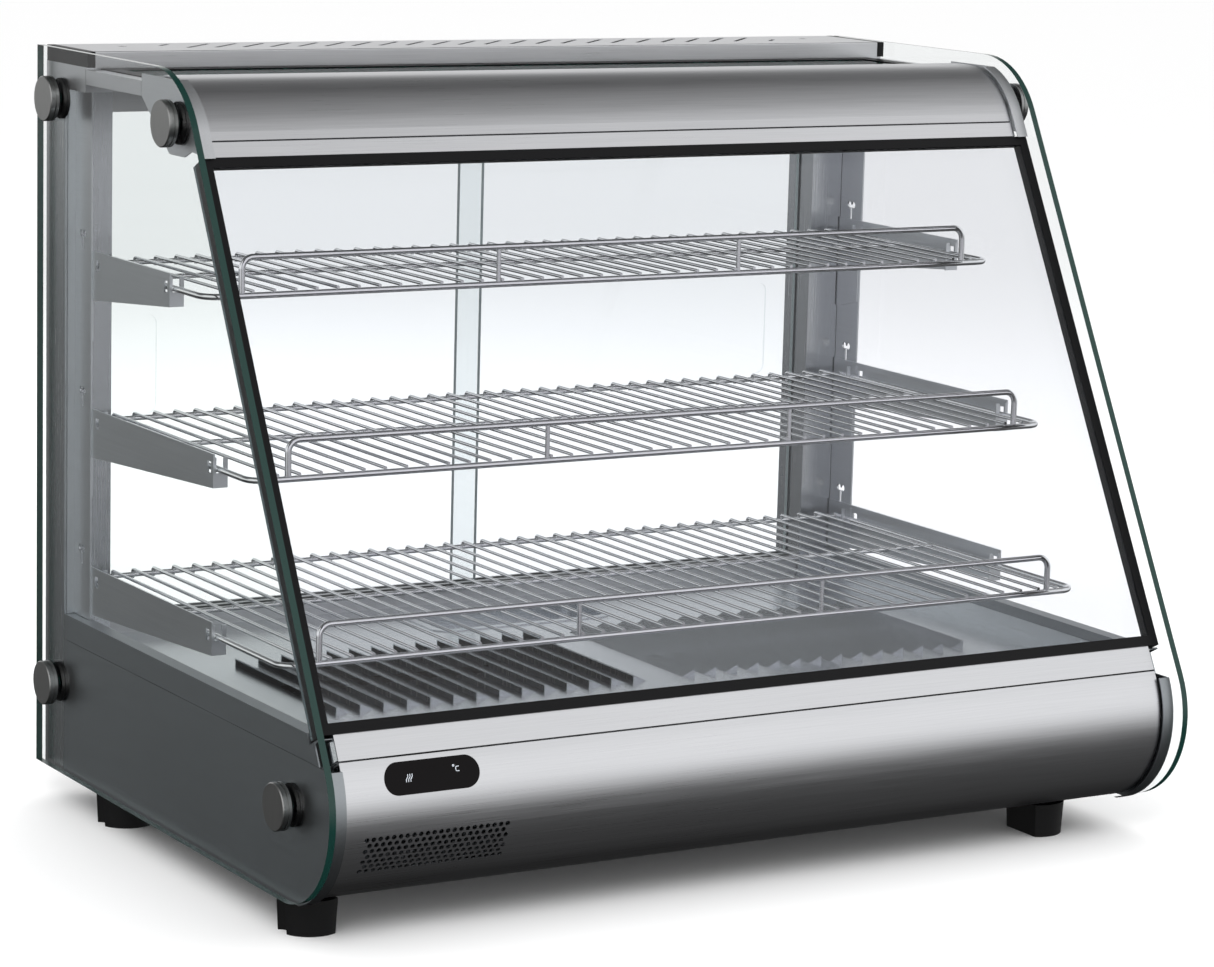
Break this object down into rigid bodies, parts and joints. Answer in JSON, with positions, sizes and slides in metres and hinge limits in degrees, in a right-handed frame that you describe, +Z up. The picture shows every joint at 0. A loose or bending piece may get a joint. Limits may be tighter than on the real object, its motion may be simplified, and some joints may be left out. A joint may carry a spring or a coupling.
{
  "type": "heated food display case",
  "caption": "Counter-top heated display case with glass sides, a sloping glass front, wire shelves and sliding rear doors.",
  "frame": {"origin": "on the counter, under the middle of the case", "axes": "+X to the right of someone who faces the glass front, +Y from the front towards the rear doors, +Z up"},
  "size_m": [0.877, 0.5999, 0.686],
  "materials": {
    "stainless_front": "fine brushed along the width",
    "stainless_body": "fine brushed, half matt",
    "stainless_inside": "rolled, half bright",
    "clear_glass": "clear toughened, green edges",
    "chrome_wire": "bright plated",
    "turned_steel": "turned face",
    "zinc_steel": "zinc plated",
    "black_seal": "smooth black",
    "black_plastic": "moulded, half matt",
    "display_black": "polished black",
    "spacer_aluminium": "black anodised",
    "track_aluminium": "anodised, satin",
    "element_steel": "heat-darkened sheath",
    "motor_enamel": "black enamel",
    "fan_aluminium": "pressed sheet"
  },
  "bodies": {
    "case": {"base_pan": "stainless_body", "base_side_left": "stainless_body", "base_side_right": "stainless_body", "cable_gland": "black_plastic", "deck_panel": "stainless_inside", "deck_rail_left": "stainless_body", "deck_rail_right": "stainless_body", "display_window": "display_black", "door_track_bottom": "track_aluminium", "door_track_top": "track_aluminium", "fan_motor": "motor_enamel", "feet": "black_plastic", "front_glass_inner": "clear_glass", "front_glass_outer": "clear_glass", "front_glass_seal": "black_seal", "front_glass_spacer": "spacer_aluminium", "glass_knobs": "turned_steel", "heating_elements": "element_steel", "knob_studs": "zinc_steel", "knob_washers": "black_seal", "lamp_housing": "stainless_inside", "lower_front_panel": "stainless_front", "lower_trim_strip": "stainless_front", "rear_base_panel": "stainless_body", "rear_cover_end_caps": "black_plastic", "rear_header": "stainless_body", "rear_post_left": "stainless_body", "rear_post_right": "stainless_body", "rear_top_cover": "stainless_body", "screws": "zinc_steel", "shelf_brackets_lower": "stainless_inside", "shelf_brackets_middle": "stainless_inside", "shelf_brackets_upper": "stainless_inside", "shelf_upright_left": "stainless_inside", "shelf_upright_right": "stainless_inside", "side_glass_left": "clear_glass", "side_glass_right": "clear_glass", "switch_bezel": "black_plastic", "top_glass": "clear_glass", "top_glass_border": "black_seal", "top_side_bars": "stainless_body", "upper_cheek_left": "stainless_body", "upper_cheek_right": "stainless_body", "upper_front_cover": "stainless_front", "upper_trim_strip": "stainless_front"},
    "door_left": {"rear_door_left": "clear_glass"},
    "door_right": {"rear_door_right": "clear_glass"},
    "upper_shelf": {"shelf_grid_upper": "chrome_wire", "shelf_rail_upper": "chrome_wire"},
    "middle_shelf": {"shelf_grid_middle": "chrome_wire", "shelf_rail_middle": "chrome_wire"},
    "lower_shelf": {"shelf_grid_lower": "chrome_wire", "shelf_rail_lower": "chrome_wire"},
    "tray": {"water_tray": "stainless_inside"},
    "fan": {"fan_rotor": "fan_aluminium"},
    "dial": {"thermostat_dial": "black_plastic"},
    "power_switch": {"power_rocker": "black_plastic"},
    "lamp_switch": {"lamp_rocker": "black_plastic"}
  },
  "joints": [
    {"name": "door_left_slide", "type": "slide", "parent": "case", "child": "door_left", "axis": [1, 0, 0], "range_m": [0, 0.362]},
    {"name": "door_right_slide", "type": "slide", "parent": "case", "child": "door_right", "axis": [-1, 0, 0], "range_m": [0, 0.362]},
    {"name": "upper_shelf_lift", "type": "slide", "parent": "case", "child": "upper_shelf", "axis": [0, 0, 1], "range_m": [0, 0.02]},
    {"name": "middle_shelf_lift", "type": "slide", "parent": "case", "child": "middle_shelf", "axis": [0, 0, 1], "range_m": [0, 0.02]},
    {"name": "lower_shelf_lift", "type": "slide", "parent": "case", "child": "lower_shelf", "axis": [0, 0, 1], "range_m": [0, 0.02]},
    {"name": "tray_lift", "type": "slide", "parent": "case", "child": "tray", "axis": [0, 0, 1], "range_m": [0, 0.03]},
    {"name": "fan_spin", "type": "hinge", "parent": "case", "child": "fan", "pos_m": [0, 0.02, 0.086], "axis": [0, 0, 1], "continuous": true},
    {"name": "dial_turn", "type": "hinge", "parent": "case", "child": "dial", "pos_m": [0.17, 0.29, 0.092], "axis": [0, 1, 0], "range_deg": [0, 270]},
    {"name": "power_rock", "type": "hinge", "parent": "case", "child": "power_switch", "pos_m": [0.23, 0.285, 0.092], "axis": [1, 0, 0], "range_deg": [0, 16]},
    {"name": "lamp_rock", "type": "hinge", "parent": "case", "child": "lamp_switch", "pos_m": [0.28, 0.285, 0.092], "axis": [1, 0, 0], "range_deg": [0, 16]}
  ]
}
